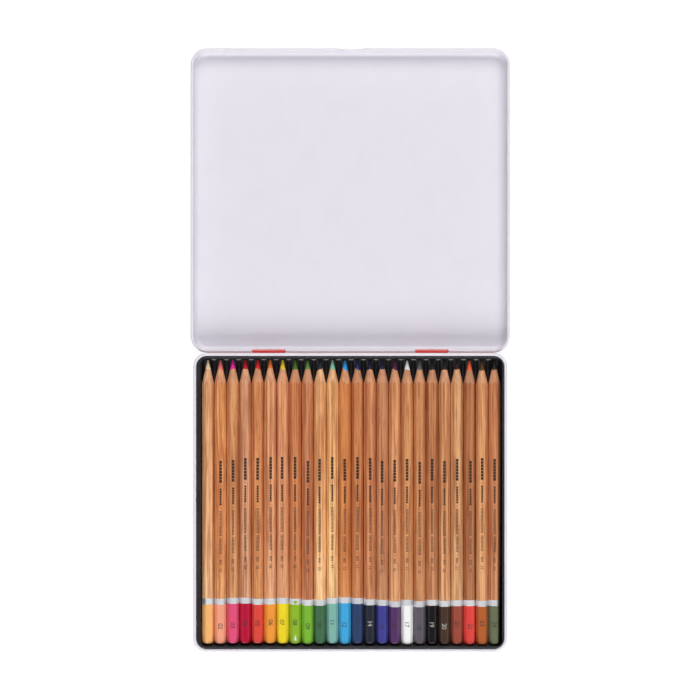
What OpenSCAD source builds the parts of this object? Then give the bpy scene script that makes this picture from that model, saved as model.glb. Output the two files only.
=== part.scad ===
// Colored pencil tin: a flat sheet-metal case with rolled rims, hinged along its rear edge,
// with a formed plastic tray that holds one row of sharpened hexagonal pencils.
//
// The tin lies open on a table. The origin is the centre of the base's underside, +X is
// right, +Y points over the hinge to the lid, and +Z is up. The lid is turned back by half
// a turn about the hinge axis, so it lies behind the base with its inside upwards.

/* [Tin] */
// Height of the closed tin
closed_h = 14; // [13.5:0.5:17]
// Thickness of the sheet metal
sheet = 0.3; // [0.25:0.05:0.4]
// Diameter over a rolled rim
curl_d = 1.8; // [1.7:0.05:2.1]
// Angle of a rolled rim that is left open
curl_open = 60; // [50:5:75]
// Corner radius of the base's rolled rim, in plan
corner_r = 8.5; // [8:0.5:11]
// Outer radius of the bend between the base's floor and wall
base_bend_r = 2; // [1.75:0.25:2.5]
// Outer radius of the bend between the lid's panel and skirt
lid_bend_r = 3; // [2.5:0.25:3.25]
// Gap between the base's rim and the lid's skirt
lid_fit = 0.15; // [0.1:0.05:0.3]

/* [Lid details] */
// Width of the thumb dent in the lid's front rim
dent_w = 18; // [12:1:24]
// Depth of the thumb dent
dent_depth = 0.8; // [0.4:0.1:1]
// Diameter of a snap nub pressed into the lid's skirt
nub_d = 3; // [2.5:0.1:3.2]
// Height of a snap nub over the skirt's inner face
nub_depth = 0.5; // [0.3:0.05:0.6]
// Gap between the base's rim and a snap nub when the tin is closed
nub_gap = 0.15; // [0.1:0.05:0.3]
// Distance of the front nubs from the tin's middle
front_nub_x = 61; // [40:1:75]
// Distance of the side nubs from the hinge axis
side_nub_y = 33; // [20:1:60]

/* [Hinge] */
// Length of a hinge knuckle
knuckle_l = 20.5; // [14:0.5:26]
// Diameter over a hinge knuckle
knuckle_d = 2.4; // [2:0.1:2.6]
// Distance of a knuckle's middle from the tin's middle
knuckle_x = 50.5; // [40:0.5:60]
// Gap between a knuckle's end and the lid's rim
knuckle_gap = 0.4; // [0.2:0.1:0.8]
// Radial clearance of a hinge pin in the rolled rims
pin_fit = 0.05; // [0.03:0.01:0.08]
// Length of a hinge pin that lies in the lid's rim, at each end
pin_reach = 8; // [5:0.5:12]
// Inner radius of the bend where a hinge tab leaves the base's wall
tab_bend_r = 0.3; // [0.2:0.05:0.5]
// Gap between a hinge tab and the edge of the lid's notch
tab_gap = 0.4; // [0.3:0.05:0.7]
// Height of the slot that a hinge tab is cut from
slot_h = 5.2; // [4:0.1:5.4]
// Width of the cut beside a hinge tab
slot_side = 0.2; // [0.1:0.05:0.4]

/* [Pencils] */
// Length of a pencil
pencil_l = 176; // [160:1:190]
// Diameter over a pencil's rounded corners
pencil_d = 7.44; // [7.3:0.02:7.6]
// Width of a pencil across its flats
pencil_flats = 6.8; // [6.6:0.05:7]
// Diameter of the lead
lead_d = 3.3; // [2:0.1:4]
// Diameter of the blunt tip
tip_d = 1.1; // [0.5:0.1:1.4]
// Length of the sharpened cone
point_l = 14.6; // [11:0.2:20]
// Radius of the dipped end's round edge
end_round = 2.2; // [1:0.1:2.6]
// Length of the painted dip
dip_l = 24.5; // [15:0.5:40]
// Wood between the lead's blind end and the pencil's end
lead_stop = 3; // [1:0.5:8]
// Glue gap round the lead
lead_fit = 0.02; // [0.01:0.01:0.05]

/* [Tray] */
// Gap between the rounded corners of two neighbouring pencils
pencil_gap = 0.28; // [0.2:0.02:0.5]
// Thickness of the tray's plastic
tray_sheet = 0.45; // [0.3:0.05:0.55]
// Gap between a pencil's corners and its trough
trough_fit = 0.23; // [0.18:0.01:0.4]
// Free length at each end of a pencil
end_play = 0.8; // [0.6:0.1:1.5]
// Depth of the ridges' tops below the pencils' axes
ridge_drop = 2; // [1.5:0.1:2.6]
// Length of the slope at each end of a ridge
ridge_slope = 1.25; // [0.75:0.25:3]
// Distance from the end of the troughs to the top of that slope
ridge_inset = 0.2; // [0.1:0.05:1]
// Width of the level land at the row's sides, on average
side_land = 1.6; // [1.4:0.05:3]
// How far the row lies to the right of the tin's middle
row_shift = 0.55; // [0:0.05:0.6]
// Outward lean of the tray's side walls
side_lean = 0.6; // [0.3:0.1:1]
// Width of the level land at the pencils' ends
end_land = 1.5; // [1.3:0.1:3]
// Depth of the land below the base's rim
land_drop = 0.9; // [0.5:0.1:1.2]
// Space between the base's floor and the troughs
trough_lift = 1.4; // [0.8:0.1:1.8]
// Gap between the tray's skirt and the base's wall
tray_fit = 0.3; // [0.25:0.05:0.5]

/* [Hidden] */
$fn = 96;
over = 1; // how far a cutter runs past the faces that it cuts

pencil_count = 24;
// Roll of each pencil from a flat on top, in degrees, and how far it has slipped in its
// trough towards the hinge, as a share of its free length.
pencil_roll = [14, 5, 5, 3, 1, 8, -4, 1, 4, -4, -1, -2, 1, 3, -3, -1, -2, -1, -2, -3, 0, 9, 0, 0];
pencil_slip = [0.1, 0.2, 0.4, 0.3, 0.4, 0.5, 0.3, 0.1, -0.1, 0, 0.3, -0.2,
               0, 0, 0.1, -0.2, -0.3, -0.1, -0.1, -0.3, -0.2, -0.3, -0.5, -0.1];
wood_color = "#d3935c";
dip_color = ["#f3b26b", "#f09e80", "#e15078", "#b41437", "#da483e", "#eb963c",
             "#f0d728", "#8cb92d", "#78b437", "#41694b", "#7db2a5", "#41a5dc",
             "#304169", "#282a37", "#414191", "#553462", "#f5f5f3", "#5f5862",
             "#191719", "#48342a", "#9b4b3c", "#de443e", "#b25f30", "#697055"];
lead_color = ["#f0be9b", "#dc5a5f", "#c81e8c", "#a50a28", "#be1e2d", "#dc6e32",
              "#ebc328", "#46732d", "#5f9646", "#1e2d32", "#64c3a5", "#288cdc",
              "#1e286e", "#23233c", "#2d2655", "#642355", "#f2f2f0", "#555558",
              "#28282a", "#322a28", "#412628", "#eb5532", "#5a4123", "#232626"];

// Pencils: one row, side by side, points towards the hinge
pitch = pencil_d + pencil_gap;
row_half = (pencil_count - 1) / 2 * pitch; // from the middle to the last pencil's axis
pencil_r = pencil_d / 2;
hex_r = pencil_flats / 2 / cos(30);
lead_r = lead_d / 2 - lead_fit;

// Troughs: round below the axis, straight above it, with rounded ends in plan
trough_r = pencil_r + trough_fit;
trough_flat = 0.05; // how far the straight sides stand in from the round bottom
trough_half_w = trough_r - trough_flat;
trough_half_l = pencil_l / 2 + end_play;
trough_end_r = end_round + trough_fit;

// The tray's outer size, then the base round it
tray_w = 2 * (row_half + trough_half_w + side_lean + side_land);
tray_d = 2 * (trough_half_l + end_land);
wall_w = tray_w + 2 * (tray_fit + sheet);
wall_d = tray_d + 2 * (tray_fit + sheet);
curl_r = curl_d / 2;
knuckle_r = knuckle_d / 2;
curl_out = curl_d - sheet; // how far a rolled rim stands out from its wall
wall_r = corner_r - curl_out;
base_w = wall_w + 2 * curl_out;
base_d = wall_d + 2 * curl_out;
tray_r = wall_r - sheet - tray_fit;

// The lid's skirt goes round the base's rim
lid_wall_w = base_w + 2 * (lid_fit + sheet);
lid_wall_d = base_d + 2 * (lid_fit + sheet);
lid_wall_r = corner_r + lid_fit + sheet;

// Heights: the hinge axis lies at half the closed height, so that the open lid lies level
// with the base, and the base's rim lies level with the start of the closed lid's bend
axis_z = closed_h / 2;
axis_y = base_d / 2 + lid_fit + curl_r;
lid_depth = axis_z + curl_r;
base_h = closed_h - lid_bend_r + curl_r;
nub_z = closed_h - (base_h - curl_d - nub_gap - nub_d / 2); // in the open lid

pin_r = curl_r - sheet - pin_fit;
pin_l = knuckle_l + 2 * (knuckle_gap + pin_reach);

pencil_z = sheet + trough_lift + tray_sheet + trough_r;
ridge_z = pencil_z - ridge_drop;
land_z = base_h - land_drop;
side_end = trough_half_l - trough_end_r; // where a trough's rounded end starts
ridge_end = trough_half_l - ridge_inset;
slope_angle = atan2(land_z - ridge_z, ridge_slope);
lean_angle = atan2(side_lean, land_z - pencil_z);

// The tray's skirt seats in the bend round the base's floor
seat_gap = 0.2;
bend_in = base_bend_r - sheet;
foot_z = base_bend_r - sqrt(pow(bend_in - seat_gap, 2) - pow(bend_in - tray_fit, 2));

function two_digits(i) = str(i < 10 ? "0" : "", i);
function casing_name(i) = str("pencil_", two_digits(i), "_casing");
function lead_name(i) = str("pencil_", two_digits(i), "_lead");

// ---- Sheet-metal pans ----

// A rectangle with round corners, in plan.
module rounded_plan(w, d, r) {
    square([w - 2 * r, d], center = true);
    square([w, d - 2 * r], center = true);
    for (x = [-1, 1], y = [-1, 1])
        translate([x * (w / 2 - r), y * (d / 2 - r)]) circle(r);
}

// Carries a half section once round a rounded rectangle. The section's x runs outwards from
// the corner's axis, and its y is the height.
module carry_round(w, d, r) {
    for (turn = [0:3]) {
        reach = (turn % 2 == 0 ? w : d) / 2 - r;
        run = (turn % 2 == 0 ? d : w) / 2 - r;
        rotate(90 * turn) {
            translate([reach, run, 0]) rotate([90, 0, 0]) linear_extrude(2 * run) children();
            translate([reach, run, 0]) rotate_extrude(angle = 90) children();
        }
    }
}

// A quarter or more of a rolled sheet: a ring round the origin of the section.
module rolled_ring(outer_r) {
    difference() {
        circle(outer_r);
        circle(outer_r - sheet);
    }
}

// Half section of a pan: floor, bend, wall, and a rim rolled outwards and down.
module pan_section(r, h, bend_r) {
    rim_z = h - curl_r;
    square([r - bend_r, sheet]);
    translate([r - bend_r, bend_r]) intersection() {
        rolled_ring(bend_r);
        translate([0, -bend_r]) square(bend_r);
    }
    translate([r - sheet, bend_r]) square([sheet, rim_z - bend_r]);
    translate([r - sheet + curl_r, rim_z]) difference() {
        rolled_ring(curl_r);
        polygon([[0, 0], [-curl_d, 0], [-curl_d, -curl_d * tan(curl_open)]]);
    }
}

// A pan with its underside on z = 0. Width, depth and corner radius are over its wall.
module pan(w, d, r, h, bend_r) {
    linear_extrude(sheet) square([w - 2 * r, d - 2 * r], center = true);
    carry_round(w, d, r) pan_section(r, h, bend_r);
}

// Runs an upright section, drawn in y and z, along X over the length l.
module along_x(l) {
    translate([-l / 2, 0, 0]) rotate([90, 0, 90]) linear_extrude(l) children();
}

// Runs an upright section, drawn in x and z, along Y over the length l.
module along_y(l) {
    translate([0, l / 2, 0]) rotate([90, 0, 0]) linear_extrude(l) children();
}

// ---- Base ----

// Section of a hinge tab: it bends out of the wall, passes over the pin and rolls round it.
module tab_section() {
    wall_y = wall_d / 2;
    tab_top = axis_z + knuckle_r;
    translate([wall_y + tab_bend_r, tab_top + tab_bend_r]) intersection() {
        rolled_ring(tab_bend_r + sheet);
        translate(-[1, 1] * (tab_bend_r + sheet)) square(tab_bend_r + sheet);
    }
    translate([wall_y + tab_bend_r, tab_top - sheet])
        square([axis_y - wall_y - tab_bend_r, sheet]);
    translate([axis_y, axis_z]) difference() {
        rolled_ring(knuckle_r);
        translate([-knuckle_d, 0]) square(knuckle_d);
    }
}

module base_shell() {
    slot_top = axis_z + knuckle_r + tab_bend_r;
    color("#e6e2ec") {
        difference() {
            pan(wall_w, wall_d, wall_r, base_h, base_bend_r);
            for (side = [-1, 1])
                translate([side * knuckle_x, wall_d / 2, slot_top - slot_h / 2])
                    cube([knuckle_l + 2 * slot_side, 4 * sheet, slot_h], center = true);
        }
        for (side = [-1, 1])
            translate([side * knuckle_x, 0, 0]) along_x(knuckle_l) tab_section();
    }
}

// ---- Lid ----

nub_r = (pow(nub_d / 2, 2) + pow(nub_depth, 2)) / (2 * nub_depth);

// Puts a nub at each of its four places. A nub's own x points into the lid, and the skirt's
// inner face lies at x = 0.
module at_nubs() {
    inner_w = lid_wall_w / 2 - sheet;
    inner_d = lid_wall_d / 2 - sheet;
    for (side = [-1, 1]) {
        translate([side * front_nub_x, inner_d, nub_z]) rotate(-90) children();
        translate([side * inner_w, side_nub_y - inner_d - curl_r, nub_z])
            rotate(side > 0 ? 180 : 0) children();
    }
}

// A round cap on a nub's own axis, cut off flat at the given place on it.
module nub_cap(r, foot) {
    rotate([0, 90, 0]) rotate_extrude() intersection() {
        translate([0, nub_depth - nub_r]) circle(r);
        translate([0, foot]) square([nub_d, nub_r]);
    }
}

// The bump on the skirt's inner face.
module nub_bump() {
    nub_cap(nub_r, -sheet / 2);
}

// The hollow behind the bump, which keeps the sheet's thickness.
module nub_hollow() {
    nub_cap(nub_r - sheet, -1.5 * sheet);
}

// The rim is pressed solid where the thumb dent is.
module dent_core() {
    translate([0, lid_wall_d / 2 - sheet + curl_r, axis_z])
        rotate([0, 90, 0]) cylinder(h = dent_w, r = curl_r - sheet / 2, center = true);
}

module dent_cut() {
    dent_r = (pow(dent_w / 2, 2) + pow(dent_depth, 2)) / (2 * dent_depth);
    translate([0, lid_wall_d / 2 + curl_out + dent_r - dent_depth, axis_z - curl_r - over / 2])
        cylinder(h = curl_d + over, r = dent_r, $fn = 360);
}

// Notch in the lid's rear rim and skirt, which a hinge knuckle stands in.
module knuckle_notch() {
    low = axis_z - knuckle_r - tab_gap;
    reach = knuckle_r + tab_gap;
    translate([-knuckle_l / 2 - knuckle_gap, axis_y - reach, low])
        cube([knuckle_l + 2 * knuckle_gap, 2 * reach, closed_h - low]);
}

module lid_shell() {
    color("#e9e5ef") difference() {
        translate([0, 2 * axis_y, 0]) difference() {
            union() {
                pan(lid_wall_w, lid_wall_d, lid_wall_r, lid_depth, lid_bend_r);
                at_nubs() nub_bump();
                dent_core();
            }
            at_nubs() nub_hollow();
            dent_cut();
        }
        for (side = [-1, 1]) translate([side * knuckle_x, 0, 0]) knuckle_notch();
    }
}

// ---- Hinge pins ----

module hinge_pin(side) {
    color("#b9b9bd") translate([side * knuckle_x, axis_y, axis_z])
        rotate([0, 90, 0]) cylinder(h = pin_l, r = pin_r, center = true);
}

// ---- Tray ----

function trough_x(i) = (i - (pencil_count + 1) / 2) * pitch + row_shift;

module each_trough() {
    for (i = [1:pencil_count]) translate([trough_x(i), 0]) children();
}

// The space above the tray's plastic, widened on all sides by grow: the troughs with their
// round bottoms and ends, the gap over the ridges, and the leaning side walls.
module tray_space(grow) {
    half_w = trough_half_w + grow;
    half_l = trough_half_l + grow;
    top = land_z + over;
    slope_out = grow / sin(slope_angle);
    slope_low = grow * tan(slope_angle / 2);
    lean_out = grow / cos(lean_angle);
    intersection() {
        along_y(2 * half_l + over) each_trough() {
            translate([0, pencil_z]) intersection() {
                circle(trough_r + grow);
                square([2 * half_w, 4 * trough_r], center = true);
            }
            translate([-half_w, pencil_z]) square([2 * half_w, top - pencil_z]);
        }
        linear_extrude(top) each_trough()
            rounded_plan(2 * half_w, 2 * half_l, trough_end_r + grow);
    }
    translate([row_shift, 0, 0]) along_x(2 * row_half) polygon([
        [-(ridge_end - ridge_slope + slope_low), ridge_z - grow],
        [ridge_end - ridge_slope + slope_low, ridge_z - grow],
        [ridge_end + slope_out, land_z],
        [ridge_end + slope_out, top],
        [-(ridge_end + slope_out), top],
        [-(ridge_end + slope_out), land_z],
    ]);
    translate([row_shift, 0, 0]) for (side = [0, 1]) mirror([side, 0, 0])
        along_y(2 * (side_end + grow)) polygon([
            [row_half, pencil_z],
            [row_half + trough_half_w + lean_out, pencil_z],
            [row_half + trough_half_w + side_lean + lean_out, land_z],
            [row_half + trough_half_w + side_lean + lean_out, top],
            [row_half, top],
        ]);
}

module tray_insert() {
    color("#2b2a2c") difference() {
        translate([0, 0, foot_z]) linear_extrude(land_z - foot_z)
            rounded_plan(tray_w, tray_d, tray_r);
        tray_space(0);
        difference() {
            translate([0, 0, foot_z - over]) linear_extrude(land_z - tray_sheet - foot_z + over)
                rounded_plan(tray_w - 2 * tray_sheet, tray_d - 2 * tray_sheet, tray_r - tray_sheet);
            tray_space(tray_sheet);
        }
    }
}

// ---- Pencils ----

// Puts pencil i in its trough. A pencil's own z runs from its dipped end to its point.
module in_trough(i) {
    translate([trough_x(i), pencil_slip[i - 1] * end_play - pencil_l / 2, pencil_z])
        rotate([-90, 0, 0]) rotate(pencil_roll[i - 1]) children();
}

// Half outline of the turned form: round end, barrel, sharpened cone and blunt tip.
module turned_outline() {
    shoulder = pencil_l - point_l;
    tip_start = pencil_l - tip_d / 2;
    square([pencil_r - end_round, pencil_l / 2]);
    translate([0, end_round]) square([pencil_r, shoulder - end_round]);
    intersection() {
        translate([pencil_r - end_round, end_round]) circle(end_round);
        square([pencil_r, end_round]);
    }
    polygon([[0, shoulder], [pencil_r, shoulder], [tip_d / 2, tip_start], [0, tip_start]]);
    intersection() {
        translate([0, tip_start]) circle(tip_d / 2);
        translate([0, tip_start]) square(tip_d);
    }
}

// The casing's wood between two heights.
module casing_part(low, high) {
    difference() {
        intersection() {
            rotate_extrude() turned_outline();
            translate([0, 0, low]) cylinder(h = high - low, r = hex_r, $fn = 6);
        }
        translate([0, 0, lead_stop]) cylinder(h = pencil_l, d = lead_d);
    }
}

module pencil_casing(i) {
    in_trough(i) {
        color(wood_color) casing_part(dip_l, pencil_l + over);
        color(dip_color[i - 1]) casing_part(-over, dip_l);
    }
}

module pencil_lead(i) {
    color(lead_color[i - 1]) in_trough(i) intersection() {
        rotate_extrude() turned_outline();
        translate([0, 0, lead_stop + lead_fit]) cylinder(h = pencil_l, r = lead_r);
    }
}

// ---- Drawing ----

base_shell();
lid_shell();
hinge_pin(-1);  // hinge_pin_left
hinge_pin(1);  // hinge_pin_right
tray_insert();
for (i = [1:pencil_count]) {
    pencil_casing(i);
    pencil_lead(i);
}
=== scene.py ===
"""Looks for an open pencil tin: two enamelled pans, a formed tray and a row of sharpened pencils.

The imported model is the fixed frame. The pans, the hinge pins, the wood and the leads are its own nodes
with procedural finishes. The tray with its soft edges, the paint dips, the foil bands and the printed
marks are modelled here, and each rides on its body.
"""

import logging
import math
import random
from dataclasses import asdict, dataclass, field, fields
from enum import Enum
from typing import Sequence

import bmesh
import bpy
from mathutils import Matrix, Vector

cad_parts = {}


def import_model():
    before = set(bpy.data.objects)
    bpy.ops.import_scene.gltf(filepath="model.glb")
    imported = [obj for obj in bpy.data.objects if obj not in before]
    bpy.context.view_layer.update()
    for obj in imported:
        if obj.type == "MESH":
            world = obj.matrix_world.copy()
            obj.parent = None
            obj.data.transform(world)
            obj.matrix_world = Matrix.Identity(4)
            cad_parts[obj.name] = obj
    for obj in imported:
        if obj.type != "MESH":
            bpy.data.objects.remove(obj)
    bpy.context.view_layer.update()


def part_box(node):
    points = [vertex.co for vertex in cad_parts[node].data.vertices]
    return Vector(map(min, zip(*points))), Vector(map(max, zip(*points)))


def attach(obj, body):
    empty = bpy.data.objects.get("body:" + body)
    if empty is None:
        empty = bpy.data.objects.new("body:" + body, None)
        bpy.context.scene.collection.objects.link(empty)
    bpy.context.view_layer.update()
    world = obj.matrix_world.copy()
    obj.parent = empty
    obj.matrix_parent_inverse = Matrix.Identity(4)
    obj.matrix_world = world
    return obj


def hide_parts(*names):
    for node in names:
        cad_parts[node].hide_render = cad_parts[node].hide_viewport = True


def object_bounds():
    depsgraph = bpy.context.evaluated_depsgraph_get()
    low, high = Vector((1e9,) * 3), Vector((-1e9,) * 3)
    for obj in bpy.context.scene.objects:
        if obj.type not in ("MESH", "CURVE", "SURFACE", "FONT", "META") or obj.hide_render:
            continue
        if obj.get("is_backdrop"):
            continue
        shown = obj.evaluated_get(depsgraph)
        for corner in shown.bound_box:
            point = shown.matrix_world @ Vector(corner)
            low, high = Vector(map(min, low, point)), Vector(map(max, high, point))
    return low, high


log = logging.getLogger("pencil_tin")

MM = 0.001
INK_DEPTH = 0.012 * MM
Socket = bpy.types.NodeSocket
Outputs = bpy.types.NodeOutputs
Material = bpy.types.Material
Shape = bmesh.types.BMesh
Value = float | str | Sequence[float] | Socket
Triple = tuple[float, float, float]


# ---- Node trees ----


def colour(code: str) -> tuple[float, ...]:
    """Turns a hex colour, as it looks on a screen, into the linear colour that a shader takes."""
    parts = [int(code[i : i + 2], 16) / 255 for i in (1, 3, 5)]
    return (*(p / 12.92 if p <= 0.04045 else ((p + 0.055) / 1.055) ** 2.4 for p in parts), 1.0)


class Bench:
    """Writes a node tree, one node a call."""

    def __init__(self, tree: bpy.types.NodeTree) -> None:
        """Starts on an empty tree."""
        self.tree = tree
        tree.nodes.clear()

    def node(
        self, kind: str, inputs: dict[str | int, Value] | None = None, **settings: object
    ) -> bpy.types.Node:
        """Adds a node.

        Args:
            kind: Blender's name of the node type, without ShaderNode.
            inputs: What each input gets, by the input's name or place.
            **settings: Properties of the node.

        Returns:
            The new node.
        """
        made = self.tree.nodes.new(f"ShaderNode{kind}")
        for name, value in settings.items():
            setattr(made, name, value)
        for name, value in (inputs or {}).items():
            self.feed(made.inputs[name], value)
        return made

    def feed(self, socket: Socket, value: Value) -> None:
        """Feeds an input.

        Args:
            socket: The input.
            value: An output socket to link, or a number, a vector or a hex colour to set.
        """
        if isinstance(value, Socket):
            self.tree.links.new(value, socket)
        else:
            socket.default_value = colour(value) if isinstance(value, str) else value

    def math(self, operation: str, *values: Value) -> Socket:
        """Adds a Math node and returns its result."""
        return self.node("Math", dict(enumerate(values)), operation=operation).outputs[0]

    def minus(self, first: Value, second: Value) -> Socket:
        """Returns the first value less the second."""
        return self.math("SUBTRACT", first, second)

    def times(self, first: Value, second: Value) -> Socket:
        """Returns the product of two values."""
        return self.math("MULTIPLY", first, second)

    def linear(self, value: Value, slope: Value, start: Value) -> Socket:
        """Returns the start plus the value times the slope."""
        return self.math("MULTIPLY_ADD", value, slope, start)

    def vector(self, operation: str, *values: Value, result: str = "Vector") -> Socket:
        """Adds a Vector Math node and returns the result of that name."""
        return self.node("VectorMath", dict(enumerate(values)), operation=operation).outputs[result]

    def parts(self, vector: Socket) -> Outputs:
        """Returns a vector's X, Y and Z."""
        return self.node("SeparateXYZ", {0: vector}).outputs

    def reach(self, x: Socket, y: Socket) -> Socket:
        """Returns the length of a flat vector."""
        flat = self.node("CombineXYZ", {0: x, 1: y}).outputs[0]
        return self.vector("LENGTH", flat, result="Value")

    def bump(self, height: Socket, depth: float) -> Socket:
        """Returns a normal from a height of 0 to 1 that stands for that depth in metres."""
        return self.node("Bump", {"Strength": 1.0, "Distance": depth, "Height": height}).outputs[0]

    def between(
        self, value: Value, low: float, high: float, to_low: float = 0.0, to_high: float = 1.0
    ) -> Socket:
        """Maps a value from one range to another, with soft ends."""
        limits = {0: value, 1: low, 2: high, 3: to_low, 4: to_high}
        return self.node("MapRange", limits, interpolation_type="SMOOTHSTEP").outputs[0]

    def blend(
        self, mask: Value, first: Value, second: Value, most: float = 1.0, how: str = "MIX"
    ) -> Socket:
        """Mixes two colours.

        Args:
            mask: Where the second colour is, from 0 to 1.
            first: The first colour.
            second: The second colour.
            most: Share of the second colour where the mask is 1.
            how: Blender's name of the blend type.

        Returns:
            The mixed colour.
        """
        share = mask if most == 1.0 else self.times(mask, most)
        colours = {0: share, 6: first, 7: second}
        return self.node("Mix", colours, data_type="RGBA", blend_type=how).outputs[2]

    def noise(
        self, place: Socket, scale: Sequence[float], detail: float = 2.0, roughness: float = 0.5
    ) -> Socket:
        """Adds noise whose size differs along each axis.

        Args:
            place: The point, in metres.
            scale: Cells in a metre along X, Y and Z.
            detail: Octaves of finer noise.
            roughness: Share that each finer octave adds.

        Returns:
            A value that is 0.5 on average.
        """
        spread = self.vector("MULTIPLY", place, scale)
        inputs = {"Vector": spread, "Scale": 1.0, "Detail": detail, "Roughness": roughness}
        return self.node("TexNoise", inputs).outputs["Fac"]


class Group:
    """A shader node group, built once and placed in many materials."""

    name = ""
    vectors: tuple[str, ...] = ("Place",)
    values: tuple[str, ...] = ()
    results: tuple[str, ...] = ()
    _made: dict[str, bpy.types.NodeTree] = {}

    def build(self, bench: Bench, given: Outputs) -> dict[str, Socket]:
        """Writes the group's nodes.

        Args:
            bench: The group's own tree.
            given: What the group is fed, by name.

        Returns:
            The group's results by name.
        """
        raise NotImplementedError

    def tree(self) -> bpy.types.NodeTree:
        """Makes the group's tree at its first use.

        Returns:
            The tree.
        """
        if self.name not in Group._made:
            tree = bpy.data.node_groups.new(self.name, "ShaderNodeTree")
            for names, way, kind in (
                (self.vectors, "INPUT", "Vector"),
                (self.values, "INPUT", "Float"),
                (self.results, "OUTPUT", "Float"),
            ):
                for name in names:
                    tree.interface.new_socket(name=name, in_out=way, socket_type=f"NodeSocket{kind}")
            bench = Bench(tree)
            results = self.build(bench, tree.nodes.new("NodeGroupInput").outputs)
            end = tree.nodes.new("NodeGroupOutput")
            for name, value in results.items():
                bench.feed(end.inputs[name], value)
            Group._made[self.name] = tree
        return Group._made[self.name]

    def place(self, bench: Bench, given: dict[str, Value]) -> Outputs:
        """Places the group in a tree, fed by name, and returns its results."""
        return bench.node("Group", given, node_tree=self.tree()).outputs


@dataclass(frozen=True)
class PanForm:
    """Sizes of a pan over its wall, in metres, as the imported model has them."""

    width: float
    depth: float
    centre_y: float
    corner: float
    height: float
    bend: float
    curl: float
    sheet: float


class SheetSides(Group):
    """Tells the lacquered outer side of a pan's sheet from the enamelled inner side.

    The inner side of the sheet rolls over the rim, so the rim's visible side is enamelled.
    """

    name = "sheet_sides"
    values = tuple(size.name for size in fields(PanForm))
    results = ("Outside", "Off Wall")

    def build(self, bench: Bench, given: Outputs) -> dict[str, Socket]:
        """Measures the distance from the pan's outer face, and from the rolled rim's axis."""
        corner, bend, curl, sheet = (given[name] for name in ("corner", "bend", "curl", "sheet"))
        place = bench.parts(given["Place"])
        x = bench.math("ABSOLUTE", place["X"])
        y = bench.math("ABSOLUTE", bench.minus(place["Y"], given["centre_y"]))
        z = place["Z"]
        past_x = bench.minus(x, bench.minus(bench.times(given["width"], 0.5), corner))
        past_y = bench.minus(y, bench.minus(bench.times(given["depth"], 0.5), corner))
        wall = self.round_distance(bench, past_x, past_y, corner)
        skin = self.round_distance(bench, bench.math("ADD", wall, bend), bench.minus(bend, z), bend)
        half_sheet = bench.times(sheet, 0.5)
        outer_side = bench.math("GREATER_THAN", skin, bench.times(half_sheet, -1.0))
        from_axis = bench.minus(wall, bench.minus(curl, sheet))
        over_axis = bench.minus(z, bench.minus(given["height"], curl))
        on_ring = bench.math(
            "GREATER_THAN", bench.reach(from_axis, over_axis), bench.minus(curl, half_sheet)
        )
        clear_of_wall = bench.math("GREATER_THAN", wall, half_sheet)
        near_rim = bench.math("GREATER_THAN", over_axis, bench.times(curl, -1.05))
        above_axis = bench.math("GREATER_THAN", over_axis, 0.0)
        free = bench.math("MAXIMUM", above_axis, bench.times(clear_of_wall, near_rim))
        not_rolled = bench.minus(1.0, bench.times(on_ring, free))
        return {"Outside": bench.times(outer_side, not_rolled), "Off Wall": wall}

    @staticmethod
    def round_distance(bench: Bench, past_x: Socket, past_y: Socket, radius: Socket) -> Socket:
        """Measures how far a point lies outside a rounded corner.

        Args:
            bench: The group's own tree.
            past_x: How far the point is past the corner's middle along one side.
            past_y: The same along the other side.
            radius: The corner's radius.

        Returns:
            The distance, which is below 0 inside the corner.
        """
        outside = bench.reach(bench.math("MAXIMUM", past_x, 0.0), bench.math("MAXIMUM", past_y, 0.0))
        inside = bench.math("MINIMUM", bench.math("MAXIMUM", past_x, past_y), 0.0)
        return bench.minus(bench.math("ADD", outside, inside), radius)


class Unevenness(Group):
    """Fine waviness, handling marks and dust of a smooth surface."""

    name = "unevenness"
    values = ("Ripple Size",)
    results = ("Height", "Smudge", "Dust")

    def build(self, bench: Bench, given: Outputs) -> dict[str, Socket]:
        """Makes noise at the size of the ripple, of a fingerprint and of a speck."""
        place, size = given["Place"], given["Ripple Size"]
        ripple = bench.node("CombineXYZ", {0: size, 1: size, 2: size}).outputs[0]
        marks = bench.noise(place, (55.0, 38.0, 55.0), detail=4.0, roughness=0.65)
        specks = bench.node("TexVoronoi", {"Vector": place, "Scale": 260.0}, feature="F1")
        kept = bench.math("GREATER_THAN", bench.noise(place, (90.0, 90.0, 90.0), detail=0.0), 0.63)
        return {
            "Height": bench.noise(bench.vector("DIVIDE", place, ripple), (1.0, 1.0, 1.0), detail=1.0),
            "Smudge": bench.between(marks, 0.42, 0.72),
            "Dust": bench.times(bench.between(specks.outputs["Distance"], 0.10, 0.05), kept),
        }


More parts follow.
